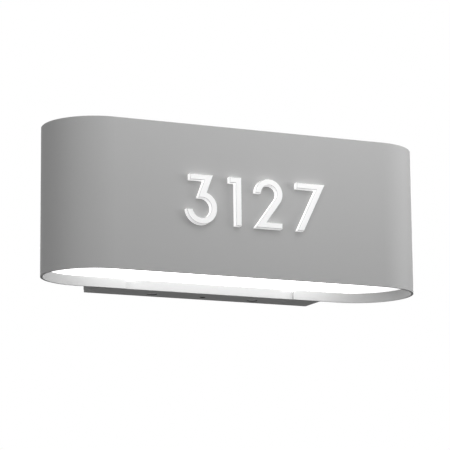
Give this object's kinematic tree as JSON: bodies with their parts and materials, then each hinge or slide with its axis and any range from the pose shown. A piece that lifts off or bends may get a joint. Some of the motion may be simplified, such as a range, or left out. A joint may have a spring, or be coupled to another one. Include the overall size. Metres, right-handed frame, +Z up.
{
  "type": "house number light",
  "caption": "Oblong wall light with half-round ends on a shallow back box, lit downwards through an opal diffuser, with raised white numerals on its front.",
  "frame": {"origin": "middle of the wall plate's back face, at the centre of its two junction box slots", "axes": "+Z up, +X along the light to the reader's right, +Y into the wall"},
  "size_m": [0.34, 0.126, 0.127],
  "materials": {
    "hood_paint": "silver-grey powder coat, satin",
    "numeral_acrylic": "white acrylic, satin face",
    "panel_acrylic": "opal acrylic sheet",
    "opal_diffuser": "opal acrylic, lit from behind",
    "seal_silicone": "white silicone",
    "gasket_foam": "closed-cell foam",
    "zinc_plate": "zinc-plated sheet steel",
    "tray_aluminium": "mill-finish sheet",
    "thermal_pad": "soft grey pad",
    "board_white": "white solder mask",
    "chip_phosphor": "phosphor under silicone",
    "screw_steel": "plated steel",
    "driver_case": "black moulded case",
    "terminal_nylon": "natural nylon",
    "grommet_rubber": "black rubber"
  },
  "bodies": {
    "root": {"hood": "hood_paint", "back_box": "hood_paint", "numeral_three": "numeral_acrylic", "numeral_one": "numeral_acrylic", "numeral_two": "numeral_acrylic", "numeral_seven": "numeral_acrylic", "numeral_panel": "panel_acrylic", "diffuser": "opal_diffuser", "diffuser_seal": "seal_silicone", "wall_gasket": "gasket_foam", "wall_plate": "zinc_plate", "hanger_bracket": "zinc_plate", "led_tray": "tray_aluminium", "thermal_pad": "thermal_pad", "led_board": "board_white", "led_chips": "chip_phosphor", "tray_screws": "screw_steel", "tray_nuts": "screw_steel", "hood_screws": "screw_steel", "hood_nuts": "screw_steel", "driver_screws": "screw_steel", "earth_screw": "screw_steel", "locking_screws": "screw_steel", "driver": "driver_case", "terminal_block": "terminal_nylon", "lead_grommet": "grommet_rubber"}
  },
  "joints": []
}
